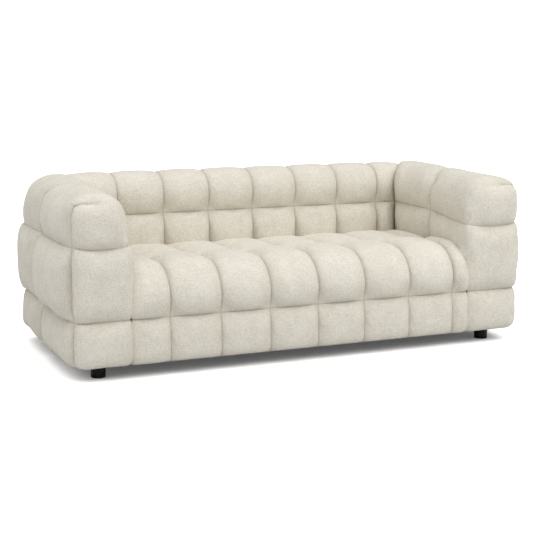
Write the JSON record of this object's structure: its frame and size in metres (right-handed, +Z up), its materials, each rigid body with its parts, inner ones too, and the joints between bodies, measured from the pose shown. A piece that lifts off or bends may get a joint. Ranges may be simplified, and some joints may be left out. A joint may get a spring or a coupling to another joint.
{
  "type": "three-seater sofa",
  "caption": "Low three-seater sofa with box-quilted looped-fabric cover, back and arms of nearly one height, on short round black feet.",
  "frame": {"origin": "middle of the sofa's box, on the floor under the feet", "axes": "+X along the length towards the right-hand arm as seen facing the sofa, +Y from the front to the back, +Z up"},
  "size_m": [2.17, 0.9995, 0.783],
  "materials": {
    "boucle_fabric": "cream looped upholstery cloth over fibre filling",
    "foam": "open-cell polyurethane foam",
    "pine": "sawn pine",
    "plywood": "raw plywood",
    "fibreboard": "hard fibreboard",
    "spring_steel": "bright drawn wire",
    "zinc_steel": "zinc plated",
    "black_legs": "satin black",
    "webbing": "black elastic webbing",
    "felt": "needled felt",
    "dust_cloth": "black non-woven cloth"
  },
  "bodies": {
    "root": {"arm_cover_left": "boucle_fabric", "arm_cover_right": "boucle_fabric", "arm_foam_left": "foam", "arm_foam_right": "foam", "arm_front_board_left": "plywood", "arm_front_board_right": "plywood", "arm_inner_panel_left": "plywood", "arm_inner_panel_right": "plywood", "arm_outer_panel_left": "plywood", "arm_outer_panel_right": "plywood", "arm_rear_board_left": "plywood", "arm_rear_board_right": "plywood", "arm_top_board_left": "plywood", "arm_top_board_right": "plywood", "back_cover": "boucle_fabric", "back_end_post_left": "pine", "back_end_post_right": "pine", "back_foam": "foam", "back_inner_post_left": "pine", "back_inner_post_right": "pine", "back_panel": "fibreboard", "back_top_rail": "pine", "back_webbing_1": "webbing", "back_webbing_2": "webbing", "back_webbing_3": "webbing", "base_cross_rail_left": "pine", "base_cross_rail_right": "pine", "base_end_rail_left": "pine", "base_end_rail_right": "pine", "base_front_rail": "pine", "base_rear_rail": "pine", "dust_cloth": "dust_cloth", "front_rail_foam": "foam", "leg_block_front_left": "pine", "leg_block_front_right": "pine", "leg_block_rear_left": "pine", "leg_block_rear_right": "pine", "leg_bolt_front_left": "zinc_steel", "leg_bolt_front_right": "zinc_steel", "leg_bolt_rear_left": "zinc_steel", "leg_bolt_rear_right": "zinc_steel", "leg_front_left": "black_legs", "leg_front_right": "black_legs", "leg_rear_left": "black_legs", "leg_rear_right": "black_legs", "seat_cover": "boucle_fabric", "seat_foam": "foam", "seat_spring_1": "spring_steel", "seat_spring_2": "spring_steel", "seat_spring_3": "spring_steel", "seat_spring_4": "spring_steel", "seat_spring_5": "spring_steel", "seat_spring_6": "spring_steel", "seat_spring_7": "spring_steel", "seat_stretcher_left": "pine", "seat_stretcher_right": "pine", "spring_felt": "felt", "spring_rail": "pine"}
  },
  "joints": []
}
